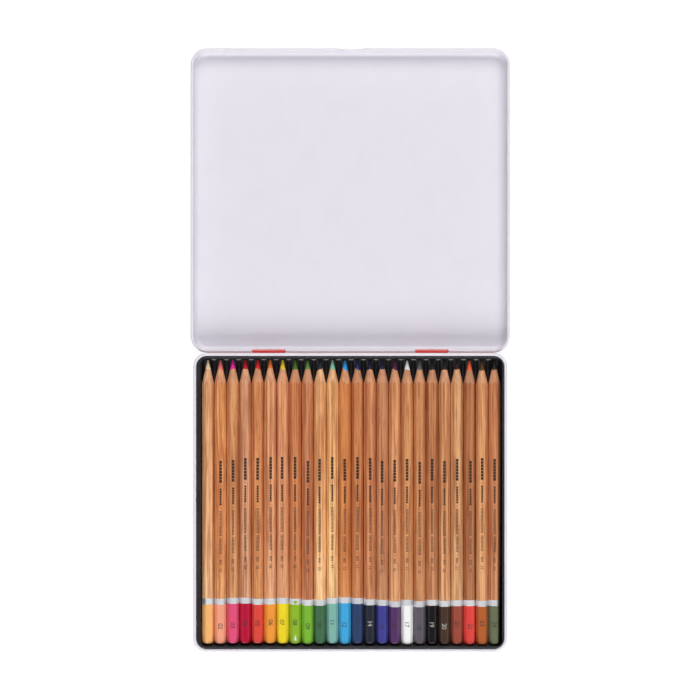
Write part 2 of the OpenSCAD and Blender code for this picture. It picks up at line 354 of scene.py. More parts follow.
class CedarGrain(Group):
    """Growth rings, fibres and tone of a slat that is cut along the grain, which runs along Y.

    Each layer of noise has its cells in a metre across and along the grain, its detail and its roughness.
    """

    name = "cedar_grain"
    vectors = ("Place", "Slat")
    values = ("Turn", "Slant", "Ring Width")
    layers = {
        "Fibre": (2600.0, 38.0, 3.0, 0.6),
        "Streak": (620.0, 7.0, 2.0, 0.55),
        "Mottle": (230.0, 17.0, 2.0, 0.6),
        "Fleck": (1250.0, 48.0, 2.0, 0.6),
    }
    results = ("Latewood", *layers, "Height")

    def build(self, bench: Bench, given: Outputs) -> dict[str, Socket]:
        """Bends flat growth rings with slow noise, and lays stretched noise over them."""
        place = bench.vector("ADD", given["Place"], given["Slat"])
        turning = {"Vector": place, "Angle": given["Turn"]}
        turned = bench.parts(bench.node("VectorRotate", turning, rotation_type="Y_AXIS").outputs[0])
        across = bench.linear(turned["Y"], given["Slant"], turned["X"])
        drift = bench.minus(bench.noise(place, (50.0, 11.0, 50.0), detail=1.0), 0.5)
        even_rings = bench.math("DIVIDE", across, given["Ring Width"])
        wave = bench.math("FRACT", bench.math("ADD", even_rings, bench.times(drift, 2.2)))
        late = bench.times(bench.between(wave, 0.30, 0.88), bench.between(wave, 1.0, 0.90))
        laid = {
            name: bench.noise(place, (cross, along, cross), detail, roughness)
            for name, (cross, along, detail, roughness) in self.layers.items()
        }
        height = bench.math("ADD", bench.times(laid["Fibre"], 0.7), bench.times(late, -0.3))
        return {"Latewood": late, **laid, "Height": height}


# ---- Finishes ----


@dataclass(frozen=True)
class Finish:
    """A material with one Principled shader."""

    name: str

    def material(self) -> Material:
        """Builds the material.

        Returns:
            The new material.
        """
        made = bpy.data.materials.new(self.name)
        made.use_nodes = True
        bench = Bench(made.node_tree)
        place = bench.node("TexCoord").outputs["Object"]
        shader = bench.node("BsdfPrincipled", self.dress(bench, place))
        bench.node("OutputMaterial", {"Surface": shader.outputs[0]})
        return made

    def dress(self, bench: Bench, place: Socket) -> dict[str, Value]:
        """Makes what the shader is fed.

        Args:
            bench: The material's tree.
            place: The point in the object's frame.

        Returns:
            What each of the shader's inputs gets, by name.
        """
        raise NotImplementedError


@dataclass(frozen=True)
class TinSheet(Finish):
    """Tin plate: satin enamel on the inner side and glossy lacquer on the outer side."""

    pan: PanForm
    enamel: str = "#e5e1ea"
    enamel_marks: str = "#d6d1df"
    dust: str = "#b9b4bd"
    lacquer: str = "#de4b43"
    lacquer_marks: str = "#cd423b"

    def dress(self, bench: Bench, place: Socket) -> dict[str, Value]:
        """Divides the two sides of the sheet, with handling marks on both."""
        sides = SheetSides().place(bench, {"Place": place, **asdict(self.pan)})
        outside = self.correct(bench, place, sides)
        skin = Unevenness().place(bench, {"Place": place, "Ripple Size": 2.4 * MM})
        marked = bench.blend(skin["Smudge"], self.enamel, self.enamel_marks, 0.16)
        inner = bench.blend(skin["Dust"], marked, self.dust, 0.35)
        outer = bench.blend(skin["Smudge"], self.lacquer, self.lacquer_marks, 0.30)
        satin = bench.linear(skin["Smudge"], 0.10, 0.36)
        gloss = bench.linear(skin["Smudge"], 0.12, 0.16)
        satin_share = bench.times(bench.minus(1.0, outside), satin)
        return {
            "Base Color": bench.blend(outside, inner, outer),
            "Roughness": bench.math("ADD", bench.times(outside, gloss), satin_share),
            "Coat Weight": bench.linear(outside, 0.65, 0.35),
            "Coat Roughness": 0.10,
            "Specular IOR Level": 0.2,
            "Normal": bench.bump(skin["Height"], 0.006 * MM),
        }

    def correct(self, bench: Bench, place: Socket, sides: Outputs) -> Socket:
        """Returns the mask of the outer side, corrected where the sheet is pressed out of its wall."""
        return sides["Outside"]


@dataclass(frozen=True)
class LidSheet(TinSheet):
    """The lid's sheet, with its pressed snap nubs and the dent for a thumb."""

    nubs: tuple[Triple, ...] = ()
    nub_radius: float = 2.35 * MM
    dent_width: float = 19.0 * MM
    dent_reach: float = 2.5 * MM
    dent_drop: float = 0.95 * MM
    wall_slack: float = 0.02 * MM

    def correct(self, bench: Bench, place: Socket, sides: Outputs) -> Socket:
        """Lacquers the hollow of each nub, and keeps the dented rim enamelled."""
        pan = self.pan
        parts = bench.parts(place)
        front = pan.centre_y + pan.depth / 2
        off_rim = bench.math("LESS_THAN", parts["Z"], pan.height - pan.curl - self.dent_drop)
        off_side = bench.math("GREATER_THAN", bench.math("ABSOLUTE", parts["X"]), self.dent_width / 2)
        off_front = bench.math("LESS_THAN", parts["Y"], front - self.dent_reach)
        off_dent = bench.math("MAXIMUM", off_rim, bench.math("MAXIMUM", off_side, off_front))
        outside = bench.times(sides["Outside"], off_dent)
        in_wall = bench.math("LESS_THAN", sides["Off Wall"], self.wall_slack)
        for nub in self.nubs:
            away = bench.vector("DISTANCE", place, nub, result="Value")
            hollow = bench.times(bench.math("LESS_THAN", away, self.nub_radius), in_wall)
            outside = bench.math("MAXIMUM", outside, hollow)
        return outside


@dataclass(frozen=True)
class FormedPlastic(Finish):
    """Thin black plastic, drawn over a mould."""

    shade: str = "#2a292c"
    marks: str = "#363437"
    dust: str = "#5a5654"

    def dress(self, bench: Bench, place: Socket) -> dict[str, Value]:
        """Gives black plastic a soft sheen with a faint mottle and a little dust."""
        skin = Unevenness().place(bench, {"Place": place, "Ripple Size": 1.1 * MM})
        dark = bench.blend(skin["Smudge"], self.shade, self.marks, 0.5)
        return {
            "Base Color": bench.blend(skin["Dust"], dark, self.dust, 0.4),
            "Roughness": bench.linear(skin["Smudge"], 0.16, 0.24),
            "Normal": bench.bump(skin["Height"], 0.02 * MM),
        }


@dataclass(frozen=True)
class Wire(Finish):
    """Bright drawn steel wire."""

    dark: str = "#b4b4b8"
    bright: str = "#d2d2d6"

    def dress(self, bench: Bench, place: Socket) -> dict[str, Value]:
        """Draws fine lines along the wire, which runs along X."""
        lines = bench.noise(place, (60.0, 5200.0, 5200.0))
        return {
            "Base Color": bench.blend(lines, self.dark, self.bright),
            "Metallic": 1.0,
            "Roughness": bench.linear(lines, 0.2, 0.2),
        }


@dataclass(frozen=True)
class Point:
    """A sharpened point, with the wavy line round the cone where wood meets lead, in metres."""

    axis: Vector
    end_y: float
    tilt: float
    phase: float
    lead: str
    wood: str = "#d9a27a"
    meet: float = 170.2 * MM
    wave: float = 0.22 * MM
    edge: float = 0.08 * MM
    start: float = 175.45 * MM
    tip: float = 0.55 * MM
    slope: float = 0.2256

    def along(self, bench: Bench, place: Socket) -> Socket:
        """Returns the distance from the pencil's dipped end."""
        return bench.minus(bench.parts(place)["Y"], self.end_y)

    def cone_share(self, bench: Bench, place: Socket) -> Socket:
        """Finds the sharpened cone.

        Args:
            bench: The material's tree.
            place: The point in the object's frame.

        Returns:
            A mask that is 1 on the cone and 0 on the flats of the barrel.
        """
        offset = bench.vector("MULTIPLY", bench.vector("SUBTRACT", place, tuple(self.axis)), (1.0, 0.0, 1.0))
        radius = bench.vector("LENGTH", offset, result="Value")
        back = bench.minus(self.start, self.along(bench, place))
        cone = bench.linear(back, self.slope, self.tip)
        return bench.between(bench.minus(cone, radius), 0.09 * MM, 0.03 * MM)

    def lead_share(self, bench: Bench, place: Socket) -> Socket:
        """Finds the lead.

        Args:
            bench: The material's tree.
            place: The point in the object's frame.

        Returns:
            A mask that is 1 where the lead shows and 0 where the wood shows.
        """
        here = bench.parts(bench.vector("SUBTRACT", place, tuple(self.axis)))
        angle = bench.math("ARCTAN2", here["X"], here["Z"])
        swing = bench.math("COSINE", bench.math("ADD", angle, self.phase))
        ripple = bench.math("SINE", bench.linear(angle, 3.0, 2.0 * self.phase))
        line = bench.linear(swing, self.tilt, self.meet)
        line = bench.linear(ripple, self.wave, line)
        return bench.between(bench.minus(self.along(bench, place), line), -self.edge, self.edge)


@dataclass(frozen=True)
class Wood:
    """One slat of cedar: its tone, where it was cut, and how its rings run."""

    tone: str
    slat: Triple
    turn: float
    slant: float
    ring_width: float
    contrast: float

    def shade(self, *factors: float) -> tuple[float, ...]:
        """Returns the slat's tone with its linear red, green and blue multiplied."""
        return (*(min(part * factor, 1.0) for part, factor in zip(colour(self.tone), factors)), 1.0)


@dataclass(frozen=True)
class Cedar(Finish):
    """Clear-varnished cedar, bare on the sharpened cone, with a painted sheen that pales it towards the dip.
    """

    point: Point
    wood: Wood
    bare: str = "#e2ae8c"
    # Painted sheen: near the dip the wood's colour is multiplied paler, in place of the front lamp's
    # reflection in the varnish.
    painted_sheen_by_dip: tuple[float, ...] = (1.06, 1.20, 1.32, 1.0)
    painted_sheen_fade: tuple[float, float] = (85.0 * MM, 22.0 * MM)

    def dress(self, bench: Bench, place: Socket) -> dict[str, Value]:
        """Colours the slat by its rings, fibres and tone, with a painted sheen towards the dip and the lead's
        edge on the cone.
        """
        wood = self.wood
        grain = CedarGrain().place(bench, {
            "Place": place, "Slat": wood.slat, "Turn": wood.turn, "Slant": wood.slant,
            "Ring Width": wood.ring_width,
        })
        # Painted sheen: pales the wood towards the dip, in place of the lamp's reflection in the varnish.
        painted_sheen_share = bench.between(self.point.along(bench, place), *self.painted_sheen_fade)
        figure = bench.blend(painted_sheen_share, self.figure(bench, grain), self.painted_sheen_by_dip, how="MULTIPLY")
        cone = self.point.cone_share(bench, place)
        lead = self.point.lead_share(bench, place)
        return {
            "Base Color": bench.blend(lead, bench.blend(cone, figure, self.bare, 0.35), self.point.lead),
            "Roughness": bench.linear(cone, 0.22, 0.42),
            "Coat Weight": bench.linear(cone, -0.35, 0.35),
            "Coat Roughness": 0.28,
            "Normal": bench.bump(grain["Height"], 0.03 * MM),
        }

    def figure(self, bench: Bench, grain: Outputs) -> Socket:
        """Lays the grain's layers over each other.

        Args:
            bench: The material's tree.
            grain: The placed grain.

        Returns:
            The wood's colour.
        """
        contrast = self.wood.contrast
        pale, light = self.wood.shade(1.14, 1.16, 1.12), self.wood.shade(1.30, 1.42, 1.42)
        deep, dark = self.wood.shade(0.74, 0.54, 0.42), self.wood.shade(0.50, 0.33, 0.24)
        laid = bench.blend(grain["Latewood"], pale, deep, 1.4 * contrast)
        for layer, low, high, most, tone in (
            ("Streak", 0.50, 0.62, 1.6 * contrast, deep),
            ("Streak", 0.49, 0.37, 0.85, light),
            ("Mottle", 0.52, 0.68, 0.50, deep),
            ("Mottle", 0.48, 0.32, 0.50, light),
            ("Fleck", 0.52, 0.68, 0.60, dark),
            ("Fleck", 0.48, 0.34, 0.50, light),
            ("Fibre", 0.54, 0.78, 0.30, dark),
        ):
            laid = bench.blend(bench.between(grain[layer], low, high, 0.0, most), laid, tone)
        return laid


@dataclass(frozen=True)
class Wax(Finish):
    """A colored lead, turned in a sharpener."""

    point: Point

    def dress(self, bench: Bench, place: Socket) -> dict[str, Value]:
        """Gives the lead fine turning lines, and wood where the point's edge rises."""
        lines = bench.noise(place, (900.0, 4200.0, 900.0))
        shade = bench.blend(lines, self.point.lead, "#000000", 0.08)
        return {
            "Base Color": bench.blend(self.point.lead_share(bench, place), self.point.wood, shade),
            "Roughness": bench.linear(lines, 0.2, 0.42),
            "Specular IOR Level": 0.3,
            "Normal": bench.bump(lines, 0.02 * MM),
        }


@dataclass(frozen=True)
class DipPaint(Finish):
    """Thick glossy paint that the pencil's end was dipped in."""

    shade: str
    worn: tuple[float, ...] = (0.86, 0.86, 0.86, 1.0)

    def dress(self, bench: Bench, place: Socket) -> dict[str, Value]:
        """Gives the paint a faint sag and fingermarks under its gloss."""
        skin = Unevenness().place(bench, {"Place": place, "Ripple Size": 1.6 * MM})
        deep = bench.blend(1.0, self.shade, self.worn, how="MULTIPLY")
        return {
            "Base Color": bench.blend(skin["Smudge"], self.shade, deep, 0.4),
            "Roughness": bench.linear(skin["Smudge"], 0.10, 0.17),
            "Normal": bench.bump(skin["Height"], 0.015 * MM),
        }


@dataclass(frozen=True)
class Foil(Finish):
    """Silver foil, pressed on hot."""

    bright: str = "#eaeaed"
    worn: str = "#d9d9de"

    def dress(self, bench: Bench, place: Socket) -> dict[str, Value]:
        """Gives the foil fine creases and worn specks."""
        skin = Unevenness().place(bench, {"Place": place, "Ripple Size": 0.7 * MM})
        return {
            "Base Color": bench.blend(skin["Smudge"], self.bright, self.worn),
            "Metallic": 1.0,
            "Roughness": bench.linear(skin["Height"], 0.12, 0.52),
            "Normal": bench.bump(skin["Height"], 0.02 * MM),
        }


class InkTone(Enum):
    """The printing inks."""

    BOLD = "#1d1817"
    FINE = "#4c3c34"
    ON_PALE_PAINT = "#352f2c"
    ON_DARK_PAINT = "#b4b0ac"


@dataclass(frozen=True)
class Ink(Finish):
    """Thin printing ink that lets some of the ground through."""

    tone: InkTone
    ground: str

    def dress(self, bench: Bench, place: Socket) -> dict[str, Value]:
        """Breaks the ink up where the print is worn."""
        worn = bench.between(bench.noise(place, (2400.0, 2400.0, 2400.0)), 0.52, 0.78)
        return {
            "Base Color": bench.blend(worn, self.tone.value, self.ground, 0.35),
            "Roughness": bench.linear(worn, 0.15, 0.4),
        }


# ---- Pieces ----


def dress_node(node: str, finish: Finish) -> None:
    """Gives a CAD node its finish, through its material slot."""
    bpy.data.objects[node].material_slots[0].material = finish.material()
    log.info("%s in %s", node, finish.name)


def new_piece(
    name: str, mesh: Shape, material: Material, sharp: float | None = 35.0
) -> bpy.types.Object:
    """Makes an object from a bmesh.

    Args:
        name: The piece's name.
        mesh: Its shape, which is freed.
        material: Its finish.
        sharp: Edges that bend by more than this many degrees stay sharp. None leaves all faces flat.

    Returns:
        The new object.
    """
    if sharp is not None:
        bmesh.ops.recalc_face_normals(mesh, faces=mesh.faces[:])
    data = bpy.data.meshes.new(name)
    mesh.to_mesh(data)
    mesh.free()
    if sharp is not None:
        data.shade_smooth()
        data.set_sharp_from_angle(angle=math.radians(sharp))
    data.materials.append(material)
    piece = bpy.data.objects.new(name, data)
    bpy.context.scene.collection.objects.link(piece)
    return piece


def new_verts(geometry: Sequence[object]) -> list[bmesh.types.BMVert]:
    """Returns the vertices in what a bmesh operator made."""
    return [item for item in geometry if isinstance(item, bmesh.types.BMVert)]


def soften(
    mesh: Shape, edges: Sequence[bmesh.types.BMEdge], radius: float, segments: int
) -> list[bmesh.types.BMVert]:
    """Rounds edges, and returns the vertices that the rounding made."""
    return bmesh.ops.bevel(
        mesh, geom=list(edges), offset=radius, offset_type="OFFSET", segments=segments, profile=0.5,
        affect="EDGES", clamp_overlap=True, material=-1,
    )["verts"]


def grow_tube(segments: int, rings: Sequence[tuple[float, float]]) -> Shape:
    """Grows a closed tube, ring by ring, from a disc.

    Args:
        segments: Corners of each ring.
        rings: Height and radius of each ring, from the first disc to the last.

    Returns:
        The tube, about Z.
    """
    mesh = bmesh.new()
    first_z, first_r = rings[0]
    made = bmesh.ops.create_circle(mesh, cap_ends=True, segments=segments, radius=first_r)
    bmesh.ops.translate(mesh, verts=made["verts"], vec=(0.0, 0.0, first_z))
    cap = mesh.faces[:]
    for (z0, r0), (z1, r1) in zip(rings, rings[1:]):
        grown = bmesh.ops.extrude_face_region(mesh, geom=cap)["geom"]
        cap = [item for item in grown if isinstance(item, bmesh.types.BMFace)]
        bmesh.ops.translate(mesh, verts=new_verts(grown), vec=(0.0, 0.0, z1 - z0))
        bmesh.ops.scale(mesh, verts=new_verts(grown), vec=(r1 / r0, r1 / r0, 1.0))
    return mesh


@dataclass
class DigitStamps:
    """Plain digits of one height as thin raised meshes, each made once.

    The advance is a digit's width as a share of its height, and the face is its height as a share of
    the type size.
    """

    height: float
    advance: float = 0.62
    face: float = 0.72

    def __post_init__(self) -> None:
        """Cuts the ten digits."""
        self.meshes = [self.cut(str(digit)) for digit in range(10)]

    def cut(self, digit: str) -> bpy.types.Mesh:
        """Turns one digit of the plain built-in face into a mesh.

        Args:
            digit: The digit.

        Returns:
            Its mesh, standing on X.
        """
        text = bpy.data.curves.new(f"digit_{digit}", "FONT")
        text.body = digit
        text.size = self.height / self.face
        text.extrude = INK_DEPTH
        text.resolution_u = 3
        text.align_x = "CENTER"
        holder = bpy.data.objects.new(f"digit_{digit}", text)
        bpy.context.scene.collection.objects.link(holder)
        seen = holder.evaluated_get(bpy.context.evaluated_depsgraph_get())
        mesh = bpy.data.meshes.new_from_object(seen)
        bpy.data.objects.remove(holder)
        return mesh

    def press(self, mesh: Shape, number: str, place: Matrix) -> None:
        """Adds a number to a mesh.

        Args:
            mesh: The mesh to add to.
            number: The digits.
            place: Where the number's middle goes: X along the line, Y up and Z out.
        """
        for order, digit in enumerate(number):
            start = len(mesh.verts)
            mesh.from_mesh(self.meshes[int(digit)])
            mesh.verts.ensure_lookup_table()
            shift = (order - (len(number) - 1) / 2) * self.advance * self.height
            step = place @ Matrix.Translation((shift, -self.height / 2, 0.0))
            bmesh.ops.transform(mesh, matrix=step, verts=mesh.verts[start:])


@dataclass
class Print:
    """The marks on a barrel: bold blocks, a dot, lighter blocks, thin rungs and a number.

    Each row has its ink, how many bars it is, and their length, gap and width in millimetres. The gaps
    after a row and before the number are in millimetres too.
    """

    digits: DigitStamps
    rows: tuple[tuple[InkTone, int, float, float, float], ...] = (
        (InkTone.BOLD, 7, 1.68, 0.28, 1.6),
        (InkTone.FINE, 1, 0.45, 0.2, 0.45),
        (InkTone.BOLD, 7, 1.22, 0.30, 1.15),
        (InkTone.FINE, 1, 0.45, 0.2, 0.45),
        (InkTone.FINE, 19, 0.44, 0.38, 1.5),
        (InkTone.FINE, 12, 0.44, 0.38, 1.5),
        (InkTone.FINE, 1, 0.45, 0.2, 0.45),
        (InkTone.FINE, 4, 0.44, 0.38, 1.4),
    )
    row_gap: float = 1.35
    number_gap: float = 1.87

    def marks(self, tone: InkTone, number: str, surface: float, first: float) -> Shape:
        """Prints one ink's bars, in order from the point, on the flat that faces the pencil's own -Y.

        Args:
            tone: The ink.
            number: The pencil's number, which follows the fine bars.
            surface: Distance of the flat from the axis.
            first: Where the print starts along the pencil.

        Returns:
            The marks as thin solids.
        """
        mesh = bmesh.new()
        here = 0.0
        for row_tone, count, length, gap, width in self.rows:
            for _ in range(count):
                if row_tone is tone:
                    middle = first - (here + length / 2) * MM
                    made = bmesh.ops.create_cube(mesh, size=1.0)["verts"]
                    bmesh.ops.scale(mesh, verts=made, vec=(width * MM, 2 * INK_DEPTH, length * MM))
                    bmesh.ops.translate(mesh, verts=made, vec=(0.0, -surface, middle))
                here += length + gap
            here += self.row_gap
        if tone is InkTone.FINE:
            self.digits.press(mesh, number, reading_frame(surface, first - (here + self.number_gap) * MM))
        return mesh


def reading_frame(surface: float, at: float) -> Matrix:
    """Returns the frame of a line that reads from the point to the dipped end, on the upper flat."""
    return Matrix(((0, 1, 0, 0), (0, 0, -1, -surface), (-1, 0, 0, at), (0, 0, 0, 1)))


@dataclass(frozen=True)
class Spill:
    """A drop of paint that ran on to the foil, and a chip that shows the primer, in metres."""

    drop_size: Triple = (1.15 * MM, 0.22 * MM, 0.95 * MM)
    drop_x: float = 0.25 * MM
    drop_z: float = 26.0 * MM
    sway: float = 0.25
    sway_rate: float = 4000.0
    chip_size: Triple = (1.0 * MM, 2.5 * MM, 1.0)
    chip_depth: float = 0.10 * MM
    chip_sunk: float = 0.06 * MM
    chip_round: float = 0.3 * MM
    chip_x: float = 0.2 * MM
    chip_z: float = 3.7 * MM
    primer: str = "#e4e1e2"

    def drop(self, surface: float) -> Shape:
        """Models the drop.

        Args:
            surface: Distance of the foil's face from the pencil's axis.

        Returns:
            A closed mesh in the pencil's own frame.
        """
        mesh = bmesh.new()
        bmesh.ops.create_uvsphere(mesh, u_segments=24, v_segments=12, radius=1.0)
        bmesh.ops.scale(mesh, verts=mesh.verts[:], vec=self.drop_size)
        for vert in mesh.verts:
            vert.co.x *= 1.0 + self.sway * math.sin(self.sway_rate * vert.co.z)
        bmesh.ops.translate(mesh, verts=mesh.verts[:], vec=(self.drop_x, -surface, self.drop_z))
        return mesh

    def chip(self, surface: float) -> Shape:
        """Models the primer in the chip.

        Args:
            surface: Distance of the paint's face from the pencil's axis.

        Returns:
            A closed mesh in the pencil's own frame.
        """
        mesh = bmesh.new()
        bmesh.ops.create_circle(mesh, cap_ends=True, segments=3, radius=1.0)
        bmesh.ops.scale(mesh, verts=mesh.verts[:], vec=self.chip_size)
        raised = new_verts(bmesh.ops.extrude_face_region(mesh, geom=mesh.faces[:])["geom"])
        bmesh.ops.translate(mesh, verts=raised, vec=(0.0, 0.0, self.chip_depth))
        middle = self.chip_depth / 2
        upright = [edge for edge in mesh.edges if len({vert.co.z > middle for vert in edge.verts}) == 2]
        soften(mesh, upright, self.chip_round, 3)
        lay = Matrix.Translation((self.chip_x, self.chip_sunk - surface, self.chip_z))
        turn = Matrix.Rotation(math.pi / 2, 4, "X")
        bmesh.ops.transform(mesh, matrix=lay @ turn, verts=mesh.verts[:])
        return mesh


@dataclass(frozen=True)
class Shade:
    """One pencil's colours, how it lies, and where its coats and print start, in degrees and millimetres."""

    name: str
    dip: str
    lead: str
    tone: str
    roll: float
    dip_length: float
    print_start: float
    contrast: float = 0.45
    tilt: float = 0.2
    turn: float = 0.0
    slant: float = 0.0
    print_below: bool = False
    spilled: bool = False
    dark_below: float = 0.16

    def number_ink(self) -> InkTone:
        """Returns the ink that stands out on the dip."""
        dark = sum(colour(self.dip)[:3]) < self.dark_below
        return InkTone.ON_DARK_PAINT if dark else InkTone.ON_PALE_PAINT


@dataclass
class PencilForm:
    """Sizes that all pencils share, in metres."""

    flats: float = 6.8 * MM
    over_corners: float = 7.44 * MM
    end_round: float = 2.2 * MM
    band: float = 3.65 * MM
    band_edge: float = 0.05 * MM
    paint: float = 0.10 * MM
    drop: float = 0.14 * MM
    drop_length: float = 4.0 * MM
    foil: float = 0.05 * MM
    number_gap: float = 102.3 * MM
    segments: int = 72
    end_steps: int = 14

    def plane_flats(self, mesh: Shape, skin: float, drop: float = 0.0) -> None:
        """Pulls each vertex in to the six flats, with the coat's edges rounded.

        Args:
            mesh: A turned mesh about the pencil's axis.
            skin: Thickness of the coat that the mesh is.
            drop: How much thicker the coat is at the end of the pencil.
        """
        sixth = math.pi / 3
        for vert in mesh.verts:
            radius = math.hypot(vert.co.x, vert.co.y)
            thick = skin + self.swell(vert.co.z, drop)
            from_flat = math.atan2(vert.co.y, vert.co.x) % sixth - sixth / 2
            limit = (self.flats / 2 + thick) / math.cos(from_flat)
            reach = 4.0 * (thick - 0.02 * MM)
            overlap = max(reach - abs(radius - limit), 0.0) / reach
            share = (min(radius, limit) - overlap * overlap * reach / 4.0) / radius
            vert.co.x *= share
            vert.co.y *= share

    def swell(self, height: float, drop: float) -> float:
        """Returns how much the coat swells at a height, from the full drop at the end to none."""
        left = min(max(1.0 - height / self.drop_length, 0.0), 1.0)
        return drop * left * left * (3.0 - 2.0 * left)

    def dipped_end(self, length: float) -> Shape:
        """Models the coat of paint, which gathers in a drop at the end.

        Args:
            length: How far up the pencil it reaches.

        Returns:
            A closed mesh about the pencil's axis.
        """
        outer = self.over_corners / 2 + self.paint
        bend = self.end_round + self.paint
        rings = []
        for step in range(self.end_steps + 1):
            turn = math.pi / 2 * step / self.end_steps
            height = self.end_round - bend * math.cos(turn)
            swollen = bend + self.swell(height, self.drop)
            rings.append((height, outer - bend + swollen * math.sin(turn)))
        for height in (2.6 * MM, 3.2 * MM, self.drop_length, 6.0 * MM):
            rings.append((height, outer + self.swell(height, self.drop)))
        for back, inward in ((2.0, 0.0), (0.7, 0.1), (0.15, 0.45), (0.0, 1.3)):
            rings.append((length - back * self.paint, outer - inward * self.paint))
        mesh = grow_tube(self.segments, rings)
        self.plane_flats(mesh, self.paint, self.drop)
        return mesh

    def foil_band(self, start: float) -> Shape:
        """Models the foil.

        Args:
            start: Where the band starts along the pencil.

        Returns:
            A closed mesh about the pencil's axis.
        """
        outer = self.over_corners / 2 + self.foil
        inner = self.over_corners / 2 - self.foil
        end = start + self.band
        edge = self.band_edge
        rings = [(start, inner), (start + edge, outer), (end - edge, outer), (end, inner)]
        mesh = grow_tube(self.segments, rings)
        self.plane_flats(mesh, self.foil)
        return mesh


class Pencil:
    """One pencil: its CAD wood and lead, and the coats over them."""

    def __init__(self, number: int, shade: Shade, form: PencilForm, chance: random.Random) -> None:
        """Finds the pencil's place in the frame.

        Args:
            number: Its place in the row, from 1 on the left.
            shade: Its colours and how it lies.
            form: The shared sizes.
            chance: Where its wood's figure comes from.
        """
        self.number = f"{number:02d}"
        self.body = f"pencil_{self.number}"
        self.shade = shade
        self.form = form
        low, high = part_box(f"{self.body}_casing")
        self.axis = Vector(((low.x + high.x) / 2, 0.0, (low.z + high.z) / 2))
        self.end_y = low.y
        self.wood = Wood(
            tone=shade.tone,
            slat=(chance.uniform(-1, 1), chance.uniform(-1, 1), chance.uniform(-1, 1)),
            turn=chance.uniform(0.0, math.pi),
            slant=shade.slant,
            ring_width=chance.uniform(1.2, 2.6) * MM,
            contrast=shade.contrast,
        )

    def lay(self, part: str, mesh: Shape, slot: str, material: Material, facet: int = 0) -> None:
        """Lays a piece over the pencil.

        Args:
            part: What the piece is, which ends its name.
            mesh: Its shape in the pencil's own frame.
            slot: Not used.
            material: Its finish.
            facet: How many flats it is turned by.
        """
        turn = Matrix.Rotation(math.radians(self.shade.roll + 60.0 * facet), 4, "Z")
        place = Matrix.Translation((self.axis.x, self.end_y, self.axis.z))
        place = place @ Matrix.Rotation(-math.pi / 2, 4, "X") @ turn
        bmesh.ops.transform(mesh, matrix=place, verts=mesh.verts[:])
        piece = new_piece(f"{self.body}_{part}", mesh, material)
        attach(piece, self.body)

    def build(self, foil: Material, printing: Print, stamps: DigitStamps) -> None:
        """Dresses the CAD nodes and adds the paint, the foil and the print.

        Args:
            foil: The finish of the band.
            printing: The marks on the barrel.
            stamps: The digits on the dip.
        """
        shade = self.shade
        point = Point(self.axis, self.end_y, shade.tilt * MM, math.radians(shade.turn), shade.lead)
        dress_node(f"{self.body}_casing", Cedar(f"cedar_{self.number}", point, self.wood))
        dress_node(f"{self.body}_lead", Wax(f"wax_{shade.name}", point))
        dip = shade.dip_length * MM
        paint = DipPaint(f"paint_{shade.name}", shade.dip).material()
        self.lay("dip", self.form.dipped_end(dip), f"paint_{self.number}", paint)
        self.lay("band", self.form.foil_band(dip), "foil_band", foil)
        self.stamp(printing, stamps)
        if shade.spilled:
            spill = Spill()
            flat = self.form.flats / 2
            self.lay("drop", spill.drop(flat + self.form.foil), f"paint_{self.number}", paint)
            primer = DipPaint("white_primer", spill.primer).material()
            self.lay("chip", spill.chip(flat + self.form.paint), f"paint_{self.number}", primer)
        log.info("%s, %s", self.body, shade.name)

    def stamp(self, printing: Print, stamps: DigitStamps) -> None:
        """Prints the barrel and the dip, which may lie with their print below.

        Args:
            printing: The marks on the barrel.
            stamps: The digits on the dip.
        """
        facet = 3 if self.shade.print_below else 0
        flat = self.form.flats / 2
        first = self.shade.print_start * MM
        for part, tone in (("print", InkTone.BOLD), ("fine_print", InkTone.FINE)):
            ink = Ink(f"{part}_ink_{self.number}", tone, self.wood.tone).material()
            self.lay(part, printing.marks(tone, self.number, flat, first), "print_ink", ink, facet)
        mesh = bmesh.new()
        frame = reading_frame(flat + self.form.paint, first - self.form.number_gap)
        stamps.press(mesh, self.number, frame)
        ink = Ink(f"ink_on_dip_{self.number}", self.shade.number_ink(), self.shade.dip).material()
        self.lay("number", mesh, "print_ink", ink, facet)


